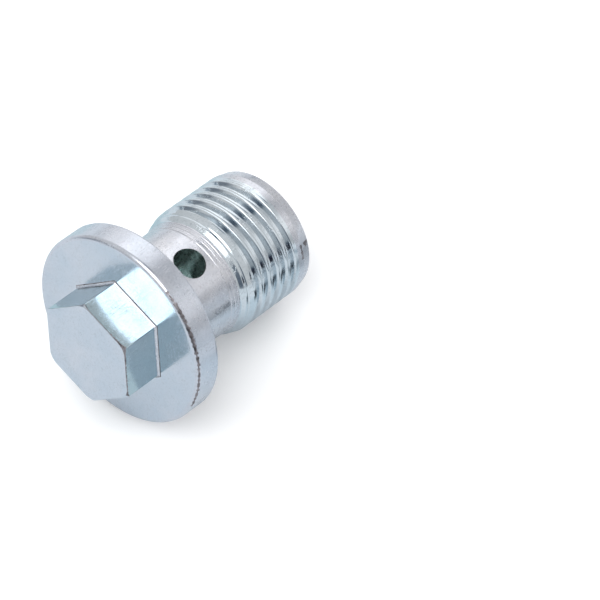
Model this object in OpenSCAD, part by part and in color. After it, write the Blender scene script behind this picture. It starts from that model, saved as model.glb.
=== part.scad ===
// Hollow oil drain plug: hex head, round flange, plain neck with one radial
// oil hole, and a threaded shank drilled along its axis from the far end.
// It is turned and forged from one piece of steel and lies on its side, on
// the rim of the flange and the first full turn of the thread.

/* [Thread] */
// Major diameter of the thread
thread_d = 16; // [14:0.5:22]
// Length from the end of the run-in to the end face
thread_l = 10.4; // [6:0.1:20]
// Diameter of the flat end face, inside the lead-in chamfer
end_d = 14.7; // [13.2:0.1:15.4]
// Length of the lead-in chamfer along the axis
end_chamfer_l = 1.1; // [0.5:0.1:2]

/* [Neck] */
// Diameter of the plain neck under the flange
neck_d = 14.2; // [11:0.1:15.5]
// Length of the plain neck, from the sealing face to the run-in
neck_l = 7.6; // [5.6:0.1:14]
// Length of the conical run-in from the neck up to the thread
runin_l = 2.7; // [1:0.1:5]
// Radius in the corner between the neck and the sealing face
neck_fillet = 0.3; // [0.1:0.05:0.6]

/* [Flange] */
// Diameter of the round flange
flange_d = 24; // [20:0.5:30]
// Thickness of the flange
flange_t = 3.35; // [2:0.05:6]
// Radius on the rim at the head's side
flange_front_r = 0.5; // [0.2:0.05:0.9]
// Bevel on the rim at the sealing side
flange_back_c = 0.15; // [0.05:0.05:0.5]

/* [Head] */
// Width across the flats, made a little under a 12 mm wrench
hex_af = 11.75; // [9.5:0.05:14]
// Height of the head above the flange
head_h = 5.2; // [3:0.1:9]
// How far the turned chamfer cuts in from each corner of the end face
head_corner_cut = 0.45; // [0.2:0.05:0.7]
// Angle of that chamfer to the end face
head_chamfer_a = 30; // [15:1:45]
// Radius in the corner between the flats and the flange
head_fillet = 0.55; // [0.2:0.05:0.9]

/* [Oil passage] */
// Diameter of the blind bore along the axis
bore_d = 5.8; // [4.2:0.1:8]
// How far the bore's full diameter runs past the middle of the oil hole
bore_past = 2.2; // [2:0.1:2.6]
// Point angle of the drill that made the bore
bore_tip_a = 118; // [90:1:140]
// Chamfer at the mouth of the bore
bore_mouth_c = 0.4; // [0.1:0.05:0.8]
// Diameter of the radial oil hole
cross_d = 3.9; // [2.5:0.1:4]
// Distance from the sealing face to the middle of the oil hole
cross_at = 5.2; // [4.8:0.1:5.4]

/* [Lying] */
// Turn of the oil hole and of one flat about the axis, from straight up
roll = 16; // [0:1:29]

/* [Hidden] */
$fn = 96;

steel = [0.76, 0.80, 0.84];

// Places along the axis, from the face of the flange that carries the head
neck_end = flange_t + neck_l;
thread_start = neck_end + runin_l;
end_z = thread_start + thread_l;
thread_end = end_z - end_chamfer_l;
cross_z = flange_t + cross_at;
bore_bottom = cross_z - bore_past;
tip_l = bore_d / 2 / tan(bore_tip_a / 2);

// The hexagon and the circle where its chamfer meets the end face
corner_r = hex_af / 2 / cos(30);
face_r = corner_r - head_corner_cut;
inside = 0.3;

// The pose at rest: the flange's rim and the thread's end touch the ground
rim_z = flange_t - flange_back_c;
tilt = atan((flange_d - thread_d) / 2 / (thread_end - rim_z));
lift = rim_z * sin(tilt) + flange_d / 2 * cos(tilt);

// Reach of the end face downwards, where its outline leaves the circle
arc_half = 30 - acos(hex_af / 2 / face_r);
face_reach = face_r * cos(max(0, 30 - roll - arc_half));
far_x = end_z * cos(tilt) + end_d / 2 * sin(tilt);
near_x = -head_h * cos(tilt) - face_reach * sin(tilt);

// A square corner less a quarter disc, as a fillet or a rounding leaves it
module corner_2d(r) {
    difference() {
        square(r);
        translate([r, r]) circle(r);
    }
}

// Half section of everything that is turned, radius along x
module turned_2d() {
    difference() {
        square([flange_d / 2, flange_t]);
        translate([flange_d / 2, 0])
            mirror([1, 0])
                corner_2d(flange_front_r);
        translate([flange_d / 2, flange_t])
            polygon([[-flange_back_c, 0], [0.1, 0.1], [0, -flange_back_c]]);
    }
    translate([neck_d / 2, flange_t]) corner_2d(neck_fillet);
    translate([0, flange_t - inside]) square([neck_d / 2, neck_l + inside]);
    polygon([
        [0, neck_end - inside],
        [neck_d / 2, neck_end - inside],
        [neck_d / 2, neck_end],
        [thread_d / 2, thread_start],
        [thread_d / 2, thread_end],
        [end_d / 2, end_z],
        [0, end_z]
    ]);
}

// Side view of the head between two flats: the flats, and the fillet at their
// foot that runs out onto the flange
module head_2d() {
    steps = 6;
    half = hex_af / 2;
    foot = [
        for (k = [0:steps])
            let (t = 180 - 90 * k / steps)
                [half + head_fillet * (1 + cos(t)), head_fillet * (sin(t) - 1)]
    ];
    right = concat([[half, -head_h]], foot, [[half + head_fillet, inside]]);
    left = [for (k = [len(right) - 1:-1:0]) [-right[k][0], right[k][1]]];
    polygon(concat(right, left));
}

// Hexagon made where three such shapes cross, so its fillet has mitred
// corners, with the corners of the end face cut by the turned chamfer
module hex_head() {
    reach = corner_r + 2 * head_fillet;
    intersection() {
        intersection_for (k = [0:2])
            rotate([0, 0, 60 * k])
                rotate([90, 0, 0])
                    linear_extrude(4 * reach, center = true)
                        head_2d();
        rotate_extrude()
            polygon([
                [0, -head_h],
                [face_r, -head_h],
                [reach, -head_h + (reach - face_r) * tan(head_chamfer_a)],
                [reach, 2 * inside],
                [0, 2 * inside]
            ]);
    }
}

// Blind bore with its drill point and its chamfered mouth
module axial_bore() {
    translate([0, 0, bore_bottom])
        cylinder(h = end_z - bore_bottom + 1, d = bore_d);
    translate([0, 0, bore_bottom - tip_l])
        cylinder(h = tip_l, r1 = 0, r2 = bore_d / 2);
    translate([0, 0, end_z - bore_mouth_c])
        cylinder(h = bore_mouth_c + 0.2, d1 = bore_d, d2 = bore_d + 2 * bore_mouth_c + 0.4);
}

// Radial oil hole through one wall of the neck, square to a flat of the head
module oil_hole() {
    translate([0, 0, cross_z])
        rotate([0, 90, 0])
            cylinder(h = neck_d / 2 + 1, d = cross_d);
}

// The plug standing on its axis, the face of the flange at z = 0
module plug_upright() {
    difference() {
        union() {
            rotate_extrude() turned_2d();
            hex_head();
        }
        axial_bore();
        oil_hole();
    }
}

// The plug as it comes to rest, centred over the origin, ground at z = 0
module drain_plug() {
    color(steel)
        translate([-(far_x + near_x) / 2, 0, lift])
            rotate([0, 90 + tilt, 0])
                rotate([0, 0, 180 + roll])
                    plug_upright();
}

drain_plug();
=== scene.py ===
"""Looks of the hollow oil drain plug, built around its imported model. Metres, +Z up."""

import math

import bmesh
import bpy
import numpy as np
from mathutils import Matrix, Vector


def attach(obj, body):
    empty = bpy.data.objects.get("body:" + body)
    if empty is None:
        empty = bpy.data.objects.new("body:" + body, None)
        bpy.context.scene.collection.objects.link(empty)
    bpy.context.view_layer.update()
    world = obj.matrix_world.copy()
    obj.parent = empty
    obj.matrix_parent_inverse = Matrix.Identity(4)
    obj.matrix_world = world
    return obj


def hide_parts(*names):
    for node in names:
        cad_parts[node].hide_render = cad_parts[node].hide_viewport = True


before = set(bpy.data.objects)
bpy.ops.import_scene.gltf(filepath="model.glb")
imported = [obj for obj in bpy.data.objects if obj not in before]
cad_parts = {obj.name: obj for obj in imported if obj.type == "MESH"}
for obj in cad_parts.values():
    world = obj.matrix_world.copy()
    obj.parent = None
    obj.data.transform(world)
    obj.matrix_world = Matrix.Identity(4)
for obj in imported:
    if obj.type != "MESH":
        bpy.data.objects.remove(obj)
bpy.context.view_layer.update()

# Driving sizes, as in the part's source, in mm and degrees
THREAD_D, THREAD_L = 16.0, 10.4
END_D, END_CHAMFER_L = 14.7, 1.1
NECK_D, NECK_L, NECK_FILLET = 14.2, 7.6, 0.3
RUNIN_L = 2.7
FLANGE_D, FLANGE_T = 24.0, 3.35
FLANGE_FRONT_R, FLANGE_BACK_C = 0.5, 0.15
HEX_AF, HEAD_H = 11.75, 5.2
HEAD_CORNER_CUT, HEAD_CHAMFER_A = 0.45, 30.0
BORE_D, BORE_PAST, BORE_TIP_A, BORE_MOUTH_C = 5.8, 2.2, 118.0, 0.4
CROSS_D, CROSS_AT = 3.9, 5.2
ROLL = 16.0

# Places along the axis, from the face of the flange that carries the head
NECK_END = FLANGE_T + NECK_L
END_Z = NECK_END + RUNIN_L + THREAD_L
THREAD_END = END_Z - END_CHAMFER_L
CROSS_Z = FLANGE_T + CROSS_AT
BORE_BOTTOM = CROSS_Z - BORE_PAST
TIP_L = BORE_D / 2 / math.tan(math.radians(BORE_TIP_A / 2))

# The pose at rest, worked out as in the part's source
CORNER_R = HEX_AF / 2 / math.cos(math.radians(30))
FACE_R = CORNER_R - HEAD_CORNER_CUT
RIM_Z = FLANGE_T - FLANGE_BACK_C
TILT = math.atan((FLANGE_D - THREAD_D) / 2 / (THREAD_END - RIM_Z))
LIFT = RIM_Z * math.sin(TILT) + FLANGE_D / 2 * math.cos(TILT)
ARC_HALF = 30 - math.degrees(math.acos(HEX_AF / 2 / FACE_R))
FACE_REACH = FACE_R * math.cos(math.radians(max(0, 30 - ROLL - ARC_HALF)))
FAR_X = END_Z * math.cos(TILT) + END_D / 2 * math.sin(TILT)
NEAR_X = -HEAD_H * math.cos(TILT) - FACE_REACH * math.sin(TILT)
MM = 0.001
PLACE = (
    Matrix.Scale(MM, 4)
    @ Matrix.Translation((-(FAR_X + NEAR_X) / 2, 0, LIFT))
    @ Matrix.Rotation(math.pi / 2 + TILT, 4, "Y")
    @ Matrix.Rotation(math.radians(180 + ROLL), 4, "Z")
)
AXIS = Vector((math.cos(TILT), 0, -math.sin(TILT)))

# Sizes that only the look has, in mm: the rim's distance inside the solid, the fillet at the
# hexagon's foot, the hexagon's rounded corners, and the worn rounding around its end face
RIM_INSET = 0.006
FOOT_R = 0.30
CORNER_ROUND = 0.16
SOFT = 0.07

# The shank's end as the photograph shows it: its face, its diameter there and the taper before it
SHANK_END, SHANK_END_D, TAPER_L = 23.97, 15.4, 1.3

# Outline of the run-in: place along the axis and radius, with the step that the thread starts from
RUNIN = ((NECK_END, NECK_D / 2), (12.62, 7.28), (13.04, 7.66), (13.28, 7.70), (14.10, THREAD_D / 2))

# Marks that the turning tool left on the run-in: place along the axis, depth, half width
MARKS = (
    (11.12, 0.05, 0.08),
    (11.36, 0.02, 0.06),
    (11.70, 0.045, 0.07),
    (11.94, 0.03, 0.06),
    (12.20, 0.05, 0.09),
    (12.48, 0.03, 0.07),
    (13.38, 0.10, 0.10),
)
MARK_SHARPNESS = 1.2

# Rings of the neck and the run-in: the last or first place, and the distance between rings. The
# thread's skin starts on the run-in, and its rings start where those of the run-in end
NECK_LAST, NECK_STEP = 10.8, 0.45
RUNIN_FIRST, RUNIN_STEP = 10.86, 0.052
THREAD_SKIN_FROM = 12.5
HELIX_START = 13.55

# The thread's profile: a flat root, straight flanks, an eased edge and a crest with a fine seam
PITCH, THREAD_DEPTH = 1.5, 0.52
ROOT_HALF, CREST_HALF, CREST_EASE = 0.165, 0.26, 0.05
EASE_SHARE, SEAM_SHARE, SEAM_HALF = 0.08, 0.05, 0.07

# Places along the axis: a root at the top of the plug, where the groove starts to deepen and is
# gone again, with the length each takes, and where the thread's skin ends
ROOT_AT = 13.12
CUT_IN, CUT_IN_L = 13.60, 0.8
CUT_OUT, CUT_OUT_L = 21.75, 0.55
LAST_TURN = 21.80

# Rings over the first half of a pitch, as shares of the pitch, from the root towards the crest
HALF_STEPS = (0.0, 0.045, 0.087, 0.11, 0.16, 0.22, 0.27, 0.293, 0.327, 0.39, 0.453)
STEPS = (*HALF_STEPS, 0.5, *(1 - step for step in HALF_STEPS[:0:-1]))

# The worn arc of an edge: its start and end in degrees from the top, and its middle ring's number
WORN_FROM, WORN_TO, WORN_MIDDLE = 24, 106, 6.6

# Dark nicks on the band past the thread: place along the axis, half length, angle, half angle
NICKS = ((22.50, 0.20, 66, 7), (23.45, 0.45, 61, 2))

# The skins that the faces wear, by their place in the list of materials
# FLAT is a darker, bluer copy of the PLAIN zinc: painted shade on the hexagon's flats
PLAIN, TURNED, NECK, INSIDE, THREAD, EDGE, FLAT = range(7)


# The rings of the mesh
def column_angles():
    """Angles of the columns: even steps, with closer ones at the hexagon's corners."""
    angles = [step * 1.5 for step in range(241)]
    for corner in range(6):
        for off in (-0.95, -0.62, -0.36, -0.12, 0.12, 0.36, 0.62, 0.95):
            angles.append(30 + 60 * corner + off)
    return np.radians(np.array(sorted(set(round(angle, 4) for angle in angles))))


PHI = column_angles()
PHI_DEG = np.degrees(PHI)
COLUMNS = len(PHI)
FROM_FLAT = (PHI_DEG + 30) % 60 - 30
FROM_TOP = (PHI_DEG + ROLL) % 360

rings = []


def ring(radius, z, skin, chips=None):
    """Adds a ring of vertices. The band of faces that ends at it wears skin, and a ring of a worn
    edge has its number there in chips."""
    radius = np.broadcast_to(np.asarray(radius, float), (COLUMNS,)).copy()
    z = np.broadcast_to(np.asarray(z, float), (COLUMNS,)).copy()
    rings.append((radius, z, skin, chips))


def hex_radius(extra):
    """Radius of the hexagon in each column, its flats moved out by extra, its corners rounded."""
    half = HEX_AF / 2 + extra
    from_flat = np.radians(np.abs(FROM_FLAT))
    flat = half / np.cos(from_flat)
    centre = (half - CORNER_ROUND) / math.cos(math.radians(30))
    from_corner = math.radians(30) - from_flat
    beside = centre * np.sin(from_corner)
    arc = centre * np.cos(from_corner) + np.sqrt(np.maximum(CORNER_ROUND ** 2 - beside ** 2, 0))
    return np.where((arc < flat) & (beside < CORNER_ROUND * 0.5), arc, flat)


def head_rings():
    """End face of the head, its chamfer with a dark line along it, the flats and their foot."""
    hexagon = hex_radius(0.0)
    face = np.minimum(hexagon - SOFT, FACE_R)
    chamfer = (hexagon - face) * math.tan(math.radians(HEAD_CHAMFER_A))
    cut_z = -HEAD_H + np.maximum(chamfer, SOFT * 0.8)
    line_z = cut_z + 0.04
    flat_z = cut_z + 0.16
    for share in (0.02, 0.25, 0.5, 0.75, 0.93):
        ring(face * share, -HEAD_H, PLAIN)
    lip, out, drop, bevel = 0.03, 0.02, 0.012, 0.015
    ring(face - lip, -HEAD_H, PLAIN)
    ring(face + out * (hexagon - face) / SOFT, -HEAD_H + drop, PLAIN)
    ring(hexagon - drop, cut_z - bevel, PLAIN, chips=6.5)
    ring(hexagon, line_z, EDGE)
    # The flats wear the FLAT skin, a darker copy of the plain zinc: painted shade
    ring(hexagon, flat_z, FLAT, chips=8.2)
    for share in (0.05, 0.12, 0.3, 0.5, 0.7, 0.88, 1.0):
        ring(hexagon, flat_z + (-FOOT_R - flat_z) * share, FLAT)
    # The two bands nearest the flange wear the dark edge skin, so the corner at the hexagon's foot
    # is darker
    for k in range(1, 9):
        turn = math.radians(180 - 90 * k / 8)
        skin = EDGE if k > 6 else NECK
        ring(hex_radius(FOOT_R * (1 + math.cos(turn))), FOOT_R * (math.sin(turn) - 1), skin)


def flange_rings():
    """Front of the flange, its rounded and chipped edge, its rim, its bevel, back and fillet."""
    foot = hex_radius(FOOT_R)
    rim = FLANGE_D / 2 - RIM_INSET
    front = rim - FLANGE_FRONT_R
    back = FLANGE_D / 2 - FLANGE_BACK_C
    base = NECK_D / 2 + NECK_FILLET
    for share in (0.06, 0.2, 0.4, 0.6, 0.8, 0.95, 1.0):
        ring(foot + (front - foot) * share, 0.0, PLAIN)
    for k in range(1, 11):
        turn = math.radians(9 * k)
        rise = FLANGE_FRONT_R * (1 - math.cos(turn))
        ring(front + FLANGE_FRONT_R * math.sin(turn), rise, TURNED, chips=k)
    for share in (0.04, 0.25, 0.5, 0.75, 0.96, 1.0):
        ring(rim, FLANGE_FRONT_R + (RIM_Z - FLANGE_FRONT_R) * share, TURNED)
    ring(FLANGE_D / 2 - FLANGE_BACK_C * 0.35, RIM_Z + FLANGE_BACK_C * 0.65, TURNED)
    ring(back, FLANGE_T, TURNED)
    for share in (0.05, 0.35, 0.7, 0.97, 1.0):
        ring(back + (base - back) * share, FLANGE_T, THREAD)
    # The two bands nearest the flange's back wear the dark edge skin, so the corner at the neck's
    # foot is darker
    for k in range(1, 7):
        turn = math.radians(15 * k)
        skin = EDGE if k < 3 else NECK
        rise = NECK_FILLET * (1 - math.cos(turn))
        ring(base - NECK_FILLET * math.sin(turn), FLANGE_T + rise, skin)


def envelope(z):
    """Radius at z of the turned outline that the thread is cut into."""
    z = np.asarray(z, float)
    fall = np.clip((z - SHANK_END + TAPER_L) / TAPER_L, 0, 1)
    places, radii = zip(*RUNIN)
    return np.interp(z, places, radii) - (THREAD_D - SHANK_END_D) / 2 * fall


def marked_radius(z):
    """Radius of the run-in at z, less the marks of the turning tool."""
    radius = float(envelope(z))
    for at, depth, half in MARKS:
        off = abs(z - at) / half
        if off < 1:
            radius -= depth * (1 - off) ** MARK_SHARPNESS
    return radius


def neck_rings():
    """The plain neck and the run-in with its tool marks."""
    z = FLANGE_T + NECK_FILLET
    while z < NECK_LAST:
        z += NECK_STEP
        ring(NECK_D / 2, min(z, NECK_LAST), NECK)
    for z in np.arange(RUNIN_FIRST, HELIX_START - 0.01, RUNIN_STEP):
        ring(marked_radius(z), z, THREAD if z > THREAD_SKIN_FROM else NECK)


def groove(turns):
    """Share of the thread's depth, with the middle of the groove's root at whole turns."""
    off = np.abs((turns + 0.5) % 1.0 - 0.5) * PITCH
    shoulder = PITCH / 2 - CREST_HALF - CREST_EASE
    flank = np.clip((off - ROOT_HALF) / (shoulder - ROOT_HALF), 0, 1)
    ease = np.clip((off - shoulder) / CREST_EASE, 0, 1)
    seam = np.clip(1 - (PITCH / 2 - off) / SEAM_HALF, 0, 1)
    return 1 - (1 - EASE_SHARE) * flank - EASE_SHARE * ease + SEAM_SHARE * seam


def thread_radius(z):
    """Radius of the shank in each column, at that column's z."""
    turns = (z - ROOT_AT) / PITCH - (PHI_DEG + ROLL) / 360.0
    deep = np.clip((z - CUT_IN) / CUT_IN_L, 0, 1) * np.clip((CUT_OUT - z) / CUT_OUT_L, 0, 1)
    return np.minimum(envelope(z), THREAD_D / 2 - THREAD_DEPTH * groove(turns) * deep)


def thread_rings():
    """Rings that climb with the helix, a set of them for each turn."""
    start = ROOT_AT + PITCH * (ROLL / 360.0)
    first = math.floor((HELIX_START - start) / PITCH) - 1
    past = math.ceil((SHANK_END - start) / PITCH) + 1
    for turn in range(first, past):
        for step in STEPS:
            climb = start + PITCH * (turn + step + PHI_DEG / 360.0)
            z = np.clip(climb, HELIX_START, SHANK_END)
            ring(thread_radius(z), z, THREAD)


def bore_rings():
    """End face of the shank, the mouth of the bore, its wall and its drill point."""
    outer = thread_radius(np.full(COLUMNS, SHANK_END))
    mouth = BORE_D / 2 + BORE_MOUTH_C
    wall_z = SHANK_END - BORE_MOUTH_C
    for share in (0.03, 0.3, 0.6, 0.95, 1.0):
        ring(outer + (mouth - outer) * share, SHANK_END, TURNED)
    ring(BORE_D / 2, wall_z, INSIDE)
    for share in np.linspace(0.03, 1, 12):
        ring(BORE_D / 2, wall_z + (BORE_BOTTOM - wall_z) * share, INSIDE)
    for share in (0.9, 0.5, 0.1):
        ring(BORE_D / 2 * share, BORE_BOTTOM - TIP_L * (1 - share), INSIDE)


# The meshes
def chipped(number):
    """True in the columns where the worn arc reaches the ring of that number, widest midway."""
    along = np.clip((FROM_TOP - WORN_FROM) / (WORN_TO - WORN_FROM), 0, 1)
    ragged = 0.8 * np.sin(FROM_TOP * 1.7) + 0.6 * np.sin(FROM_TOP * 4.1 + 1)
    wide = 2.4 * np.sqrt(np.sin(math.pi * along)) + ragged
    return (along > 0) & (along < 1) & (np.abs(number - WORN_MIDDLE) < wide)


def band_skins(start, end):
    """Skin of each column's face between two rings, with its chips and nicks."""
    start_z = start[1]
    skin, chips = end[2:]
    skins = np.full(COLUMNS, skin)
    if chips is not None:
        skins[chipped(chips)] = EDGE
    skins[(skins == THREAD) & (start_z > LAST_TURN)] = NECK
    for at, half, angle, spread in NICKS:
        ragged = half * (0.7 + 0.3 * np.sin(FROM_TOP * 3.1))
        skins[(np.abs(start_z - at) < ragged) & (np.abs(FROM_TOP - angle) < spread)] = EDGE
    return skins


def finished(bm, name):
    """Mesh of that name, made from bm once its faces all point outwards."""
    bmesh.ops.recalc_face_normals(bm, faces=bm.faces)
    mesh = bpy.data.meshes.new(name)
    bm.to_mesh(mesh)
    bm.free()
    return mesh


def plug_mesh():
    """The plug upright in mm, its rings joined into one skin, without the oil hole."""
    bm = bmesh.new()
    cos, sin = np.cos(PHI), np.sin(PHI)
    grid = [
        [bm.verts.new((radius[i] * cos[i], radius[i] * sin[i], z[i])) for i in range(COLUMNS)]
        for radius, z, skin, chips in rings
    ]
    spans = range(COLUMNS - 1)
    for j in range(len(rings) - 1):
        skins = band_skins(rings[j], rings[j + 1])
        near, far = grid[j], grid[j + 1]
        for i in spans:
            face = bm.faces.new((near[i], far[i], far[i + 1], near[i + 1]))
            face.material_index = int(skins[i])
    head = bm.verts.new((0, 0, -HEAD_H))
    tip = bm.verts.new((0, 0, BORE_BOTTOM - TIP_L))
    for i in spans:
        bm.faces.new((head, grid[0][i], grid[0][i + 1])).material_index = PLAIN
        bm.faces.new((tip, grid[-1][i + 1], grid[-1][i])).material_index = INSIDE
    touching = 2e-5
    bmesh.ops.remove_doubles(bm, verts=bm.verts, dist=touching)
    bmesh.ops.dissolve_degenerate(bm, edges=bm.edges, dist=touching)
    return finished(bm, "plug")


def drill_mesh():
    """The drill that makes the oil hole: fine rings in the wall, and a faint flare outside."""
    sides, depth, flare = 64, 0.022, 0.02
    wall_start, wall_end, step = 2.6, 7.0, 0.05
    profile = [(0.0, CROSS_D / 2 - flare)]
    for x in np.arange(wall_start, wall_end, step):
        wave = 0.5 + 0.5 * math.sin(x * 27.0 + 2.0 * math.sin(x * 5.0))
        profile.append((x, CROSS_D / 2 - depth * wave))
    profile += [(7.05, CROSS_D / 2), (9.2, CROSS_D / 2 + flare)]

    bm = bmesh.new()
    turns = [2 * math.pi * i / sides for i in range(sides)]
    grid = [
        [bm.verts.new((x, radius * math.cos(t), CROSS_Z + radius * math.sin(t))) for t in turns]
        for x, radius in profile
    ]
    for near, far in zip(grid, grid[1:]):
        for i in range(sides):
            after = (i + 1) % sides
            bm.faces.new((near[i], near[after], far[after], far[i]))
    bm.faces.new(list(reversed(grid[0])))
    bm.faces.new(grid[-1])
    for face in bm.faces:
        face.material_index = INSIDE
    return finished(bm, "drill")


def drilled(plug, drill):
    """The plug's mesh with the drill's taken out of it."""
    blank = bpy.data.objects.new("blank", plug)
    tool = bpy.data.objects.new("drill", drill)
    for obj in (blank, tool):
        bpy.context.scene.collection.objects.link(obj)
    cut = blank.modifiers.new("oil_hole", "BOOLEAN")
    cut.operation = "DIFFERENCE"
    cut.solver = "EXACT"
    cut.object = tool
    bpy.context.view_layer.update()
    evaluated = blank.evaluated_get(bpy.context.evaluated_depsgraph_get())
    mesh = bpy.data.meshes.new_from_object(evaluated)
    for obj in (blank, tool):
        bpy.data.objects.remove(obj)
    return mesh


def shade_smooth(mesh, sharp):
    """Smooth shading all over, with a crease where faces meet at more than sharp degrees."""
    bm = bmesh.new()
    bm.from_mesh(mesh)
    for face in bm.faces:
        face.smooth = True
    for edge in bm.edges:
        if len(edge.link_faces) == 2 and edge.calc_face_angle(0) > math.radians(sharp):
            edge.smooth = False
    bm.to_mesh(mesh)
    bm.free()


# Helpers for node trees
def nodes_of(name):
    """A new material with a Principled shader: the material, its tree, the shader, its output."""
    mat = bpy.data.materials.new(name)
    mat.use_nodes = True
    nt = mat.node_tree
    nt.nodes.clear()
    out = nt.nodes.new("ShaderNodeOutputMaterial")
    bsdf = nt.nodes.new("ShaderNodeBsdfPrincipled")
    nt.links.new(bsdf.outputs[0], out.inputs[0])
    return mat, nt, bsdf, out


def put(nt, socket, value):
    """Links value to the socket where it is a socket too, and else sets it there."""
    if isinstance(value, bpy.types.NodeSocket):
        nt.links.new(value, socket)
    else:
        socket.default_value = value


def noise(nt, vector, scale, detail, rough):
    """Noise of 0 to 1 at the places that vector gives."""
    node = nt.nodes.new("ShaderNodeTexNoise")
    node.inputs["Scale"].default_value = scale
    node.inputs["Detail"].default_value = detail
    node.inputs["Roughness"].default_value = rough
    nt.links.new(vector, node.inputs["Vector"])
    return node.outputs[0]


def ramp(nt, fac, stops):
    """Colour of fac, from stops of a place and a colour."""
    node = nt.nodes.new("ShaderNodeValToRGB")
    elements = node.color_ramp.elements
    while len(elements) < len(stops):
        elements.new(0.5)
    for element, (place, colour) in zip(elements, stops):
        element.position = place
        element.color = (*colour, 1)
    nt.links.new(fac, node.inputs[0])
    return node.outputs[0]


def map_range(nt, value, start, end, low=0.0, high=1.0, kind="LINEAR"):
    """Value taken from start and end to low and high, and held there past both."""
    node = nt.nodes.new("ShaderNodeMapRange")
    node.interpolation_type = kind
    node.inputs["From Min"].default_value = start
    node.inputs["From Max"].default_value = end
    node.inputs["To Min"].default_value = low
    node.inputs["To Max"].default_value = high
    nt.links.new(value, node.inputs["Value"])
    return node.outputs[0]


def math_node(nt, operation, a, b=0.0):
    """Maths on two values, each a number or a socket."""
    node = nt.nodes.new("ShaderNodeMath")
    node.operation = operation
    put(nt, node.inputs[0], a)
    put(nt, node.inputs[1], b)
    return node.outputs[0]


def vector_node(nt, operation, a, b):
    """Vector maths on two vectors or colours, each plain or a socket."""
    node = nt.nodes.new("ShaderNodeVectorMath")
    node.operation = operation
    put(nt, node.inputs[0], a)
    put(nt, node.inputs[1], b)
    return node.outputs["Value" if operation in ("DOT_PRODUCT", "DISTANCE") else "Vector"]


def blend(nt, fac, a, b):
    """Colour between a and b, each a plain colour or a socket."""
    node = nt.nodes.new("ShaderNodeMix")
    node.data_type = "RGBA"
    nt.links.new(fac, node.inputs[0])
    for socket, value in ((node.inputs[6], a), (node.inputs[7], b)):
        put(nt, socket, (*value, 1) if isinstance(value, tuple) else value)
    return node.outputs[2]


# The zinc skins
SPECK_SCALE, GRAIN_SCALE, WAVE_SCALE, RING_SCALE = 3600.0, 2600.0, 420.0, 5200.0
WAVE_SHARE, SCRATCH_DEPTH = 2.2, 0.3
BUMP_STRENGTH, BUMP_DISTANCE = 0.5, 0.00004


def scratches(nt, co):
    """Fine broken lines: where a stretched noise passes its middle value."""
    stretch = nt.nodes.new("ShaderNodeMapping")
    stretch.inputs["Rotation"].default_value = (0.3, 0.5, 0.9)
    stretch.inputs["Scale"].default_value = (260.0, 3400.0, 1300.0)
    nt.links.new(co, stretch.inputs["Vector"])
    field = noise(nt, stretch.outputs[0], 1.0, 3, 0.6)
    off = math_node(nt, "ABSOLUTE", math_node(nt, "SUBTRACT", field, 0.5))
    lines = map_range(nt, off, 0.010, 0.0)
    gaps = map_range(nt, noise(nt, co, 330.0, 2, 0.5), 0.50, 0.58)
    return math_node(nt, "MULTIPLY", lines, gaps)


def turned_rings(nt, co):
    """Noise that changes along the plug's axis alone, as a turning tool leaves it."""
    along = vector_node(nt, "DOT_PRODUCT", co, AXIS)
    place = nt.nodes.new("ShaderNodeCombineXYZ")
    nt.links.new(math_node(nt, "MULTIPLY", along, RING_SCALE), place.inputs[0])
    return noise(nt, place.outputs[0], 1.0, 3, 0.6)


def zinc(name, low, high, rough, cloud=240.0, turned=0.0, grain=0.12, speck=0.82):
    """Bright zinc plate: cloudy tint, specks, patchy gloss, scratches, turned rings if asked."""
    mat, nt, bsdf, out = nodes_of(name)
    co = nt.nodes.new("ShaderNodeTexCoord").outputs["Object"]
    middle = tuple((a + b) / 2 for a, b in zip(low, high))
    clouds = noise(nt, co, cloud, 5, 0.6)
    tint = ramp(nt, clouds, ((0.30, low), (0.52, middle), (0.72, high)))
    fine = noise(nt, co, SPECK_SCALE, 3, 0.6)
    dots = ramp(nt, fine, ((0.26, (speck,) * 3), (0.42, (0.975,) * 3), (0.66, (1.02,) * 3)))
    nt.links.new(vector_node(nt, "MULTIPLY", tint, dots), bsdf.inputs["Base Color"])
    bsdf.inputs["Metallic"].default_value = 1.0
    patches = noise(nt, co, cloud * 2.1, 6, 0.65)
    nt.links.new(map_range(nt, patches, 0.3, 0.7, *rough), bsdf.inputs["Roughness"])

    height = math_node(nt, "MULTIPLY", noise(nt, co, GRAIN_SCALE, 3, 0.6), grain)
    wave = math_node(nt, "MULTIPLY", noise(nt, co, WAVE_SCALE, 3, 0.5), grain * WAVE_SHARE)
    height = math_node(nt, "ADD", height, wave)
    lines = math_node(nt, "MULTIPLY", scratches(nt, co), -SCRATCH_DEPTH)
    height = math_node(nt, "ADD", height, lines)
    if turned:
        tool = math_node(nt, "MULTIPLY", turned_rings(nt, co), turned)
        height = math_node(nt, "ADD", height, tool)
    bump = nt.nodes.new("ShaderNodeBump")
    bump.inputs["Strength"].default_value = BUMP_STRENGTH
    bump.inputs["Distance"].default_value = BUMP_DISTANCE
    nt.links.new(height, bump.inputs["Height"])
    nt.links.new(bump.outputs[0], bsdf.inputs["Normal"])
    return mat


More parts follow.
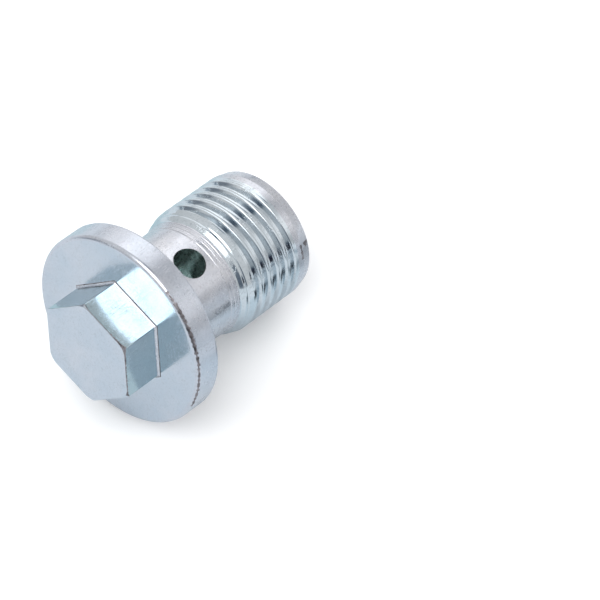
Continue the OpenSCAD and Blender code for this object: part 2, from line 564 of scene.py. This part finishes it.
def skins():
    """The materials in the order of PLAIN to FLAT, each with its darkest tint, its lightest tint
    and its range of roughness."""
    return (
        zinc("zinc_plain", (0.52, 0.585, 0.655), (0.60, 0.63, 0.68), (0.12, 0.22), grain=0.10),
        zinc("zinc_turned", (0.53, 0.57, 0.63), (0.62, 0.63, 0.68), (0.18, 0.32), turned=0.25),
        zinc("zinc_neck", (0.53, 0.55, 0.60), (0.66, 0.66, 0.69), (0.20, 0.34),
             cloud=330.0, turned=0.15, speck=0.74),
        zinc("zinc_inside", (0.54, 0.64, 0.63), (0.70, 0.79, 0.77), (0.20, 0.32),
             cloud=500.0, grain=0.2),
        zinc("zinc_thread", (0.54, 0.60, 0.64), (0.66, 0.705, 0.74), (0.06, 0.14),
             turned=0.30, grain=0.04),
        zinc("zinc_edge", (0.035, 0.03, 0.03), (0.44, 0.41, 0.43), (0.25, 0.45), cloud=1300.0),
        # The hexagon's flats: a darker, bluer copy of the plain zinc, painted shade so that they
        # mirror the floor darker
        zinc("zinc_flat_painted_shade", (0.41, 0.52, 0.56), (0.47, 0.56, 0.60), (0.10, 0.20), grain=0.10),
    )


# The plug
head_rings()
flange_rings()
neck_rings()
thread_rings()
bore_rings()
body = plug_mesh()
drill = drill_mesh()
zinc_skins = skins()
for mesh in (body, drill):
    for skin in zinc_skins:
        mesh.materials.append(skin)
body = drilled(body, drill)
body.name = "drain_plug_body"
body.transform(PLACE)
shade_smooth(body, sharp=32)
plug = bpy.data.objects.new("drain_plug_body", body)
bpy.context.scene.collection.objects.link(plug)
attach(plug, "root")
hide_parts("drain_plug")

# The floor: what the camera sees, what lights the plug, and what the plug mirrors
FLOOR_SEEN = (0.92, 0.92, 0.92)
FLOOR_GLOW = 0.15
FLOOR_LIT = (0.78, 0.78, 0.78)
FLOOR_MIRRORED = (0.77, 0.81, 0.84)
FLOOR_HALF = 4.0

# Painted shade: patches where the floor, as the plug mirrors it, is darker, for the plug's shadow
# and for dark things around it that are not built: middle, full reach, where each ends, and its
# tint
SHADES = (
    ((0.012, -0.024, 0.0), 0.006, 0.022, (0.80, 0.88, 0.92)),
    ((0.012, 0.034, 0.0), 0.012, 0.030, (0.72, 0.84, 0.86)),
    ((0.0165, -0.028, 0.0), 0.004, 0.011, (0.04, 0.045, 0.055)),
    ((0.038, -0.018, 0.0), 0.008, 0.024, (0.50, 0.51, 0.52)),
    ((0.050, -0.062, 0.0), 0.010, 0.032, (0.52, 0.58, 0.62)),
    ((0.055, -0.170, 0.0), 0.030, 0.065, (0.25, 0.28, 0.32)),
    ((-0.300, 0.320, 0.0), 0.180, 0.310, (0.20, 0.25, 0.30)),
    ((0.620, 0.200, 0.0), 0.360, 0.500, (0.12, 0.15, 0.18)),
)


def floor_material():
    """Pale floor, whose reflections in the plug carry painted shade in soft patches."""
    mat, nt, bsdf, out = nodes_of("pale_floor")
    bsdf.inputs["Roughness"].default_value = 0.9
    bsdf.inputs["Specular IOR Level"].default_value = 0.0
    ray = nt.nodes.new("ShaderNodeLightPath")
    co = nt.nodes.new("ShaderNodeTexCoord").outputs["Object"]
    tone = FLOOR_MIRRORED
    # Painted shade in the floor's reflections, patch by patch, seen only by glossy rays
    for at, inner, outer, shade in SHADES:
        away_from = vector_node(nt, "DISTANCE", co, at)
        patch = map_range(nt, away_from, outer, inner, kind="SMOOTHSTEP")
        tone = vector_node(nt, "MULTIPLY", tone, blend(nt, patch, (1.0, 1.0, 1.0), shade))
    tone = blend(nt, ray.outputs["Is Glossy Ray"], FLOOR_LIT, tone)
    tone = blend(nt, ray.outputs["Is Camera Ray"], tone, FLOOR_SEEN)
    nt.links.new(tone, bsdf.inputs["Base Color"])
    glow = nt.nodes.new("ShaderNodeEmission")
    glow.inputs["Color"].default_value = (1, 1, 1, 1)
    strength = math_node(nt, "MULTIPLY", ray.outputs["Is Camera Ray"], FLOOR_GLOW)
    nt.links.new(strength, glow.inputs["Strength"])
    add = nt.nodes.new("ShaderNodeAddShader")
    nt.links.new(bsdf.outputs[0], add.inputs[0])
    nt.links.new(glow.outputs[0], add.inputs[1])
    nt.links.new(add.outputs[0], out.inputs[0])
    return mat


ground = bpy.data.meshes.new("floor")
corners = [(x * FLOOR_HALF, y * FLOOR_HALF, 0) for x, y in ((-1, -1), (1, -1), (1, 1), (-1, 1))]
ground.from_pydata(corners, [], [(0, 1, 2, 3)])
ground.materials.append(floor_material())
floor = bpy.data.objects.new("floor", ground)
bpy.context.scene.collection.objects.link(floor)

# The camera, as fitted to the photograph: its place, and its heading, elevation and lean
EYE = (-0.201551, -0.188895, 0.405417)
HEADING, ELEVATION, LEAN = 49.800, 55.137, 1.932
SENSOR, LENS, CLIP_START = 36.0, 255.0, 0.01


def add_camera():
    """The camera, looking along its heading, tipped down and leaning by LEAN."""
    data = bpy.data.cameras.new("camera")
    data.sensor_width = SENSOR
    data.lens = LENS
    data.clip_start = CLIP_START
    camera = bpy.data.objects.new("camera", data)
    bpy.context.scene.collection.objects.link(camera)
    camera.location = EYE
    turn = Matrix.Rotation(math.radians(-HEADING), 4, "Z")
    nod = Matrix.Rotation(math.radians(90 - ELEVATION), 4, "X")
    lean = Matrix.Rotation(math.radians(LEAN), 4, "Z")
    camera.rotation_euler = (turn @ nod @ lean).to_euler()
    bpy.context.scene.camera = camera


add_camera()

# The sky: even soft light, a little stronger overhead, with soft round patches in it. Each patch
# has its elevation, its heading to the right of LIGHT_HEADING, its full reach and its soft edge,
# in degrees, and the light that it adds or takes away
LIGHT_HEADING = math.radians(48.11)
SKY_LOW, SKY_HIGH = 0.74, 0.88
SKY_TINT, SHADE_TINT = (0.985, 0.99, 1.0), (1.0, 0.95, 0.89)
LEAST_LIGHT = (0.02, 0.02, 0.02)
LIGHTS = (
    (66, -147, 13, 14, 3.5),
    (36, 12, 4, 20, 0.85),
    (16, -8, 4, 16, 0.46),
    (25, 82, 3, 16, 0.35),
)
DARKS = (
    (8, 95, 2, 12, -0.12),
    (42, 50, 3, 14, -0.14),
    (12, -178, 15, 14, -0.60),
    (3, -88, 5, 13, -0.50),
    (2, 31, 4, 9, -0.25),
    (56, 24, 7, 9, -0.72),
    (3, 112, 5, 8, -0.80),
)


def direction(elevation, azimuth):
    """Unit vector at elevation above the ground, azimuth to the right of LIGHT_HEADING."""
    right = Vector((math.cos(LIGHT_HEADING), -math.sin(LIGHT_HEADING), 0))
    away = Vector((math.sin(LIGHT_HEADING), math.cos(LIGHT_HEADING), 0))
    up, side = math.radians(elevation), math.radians(azimuth)
    level = away * math.cos(side) + right * math.sin(side)
    return level * math.cos(up) + Vector((0, 0, math.sin(up)))


def add_patches(nt, co, total, patches):
    """Total light with that of the patches added."""
    for elevation, azimuth, reach, edge, power in patches:
        near = vector_node(nt, "DOT_PRODUCT", co, direction(elevation, azimuth))
        outer = math.cos(math.radians(reach + edge))
        inner = math.cos(math.radians(reach))
        patch = map_range(nt, near, outer, inner, 0.0, power, kind="SMOOTHSTEP")
        total = math_node(nt, "ADD", total, patch)
    return total


def add_sky():
    """World light: the even level with its lights, tinted, less the darker patches."""
    world = bpy.data.worlds.new("studio")
    bpy.context.scene.world = world
    world.use_nodes = True
    nt = world.node_tree
    nt.nodes.clear()
    out = nt.nodes.new("ShaderNodeOutputWorld")
    co = nt.nodes.new("ShaderNodeTexCoord").outputs["Generated"]
    split = nt.nodes.new("ShaderNodeSeparateXYZ")
    nt.links.new(co, split.inputs[0])
    level = map_range(nt, split.outputs[2], 0.0, 1.0, SKY_LOW, SKY_HIGH)
    light = vector_node(nt, "MULTIPLY", add_patches(nt, co, level, LIGHTS), SKY_TINT)
    dark = vector_node(nt, "MULTIPLY", add_patches(nt, co, 0.0, DARKS), SHADE_TINT)
    both = vector_node(nt, "ADD", light, dark)
    background = nt.nodes.new("ShaderNodeBackground")
    nt.links.new(vector_node(nt, "MAXIMUM", both, LEAST_LIGHT), background.inputs["Color"])
    nt.links.new(background.outputs[0], out.inputs[0])


add_sky()
bpy.context.scene.view_settings.view_transform = "Standard"
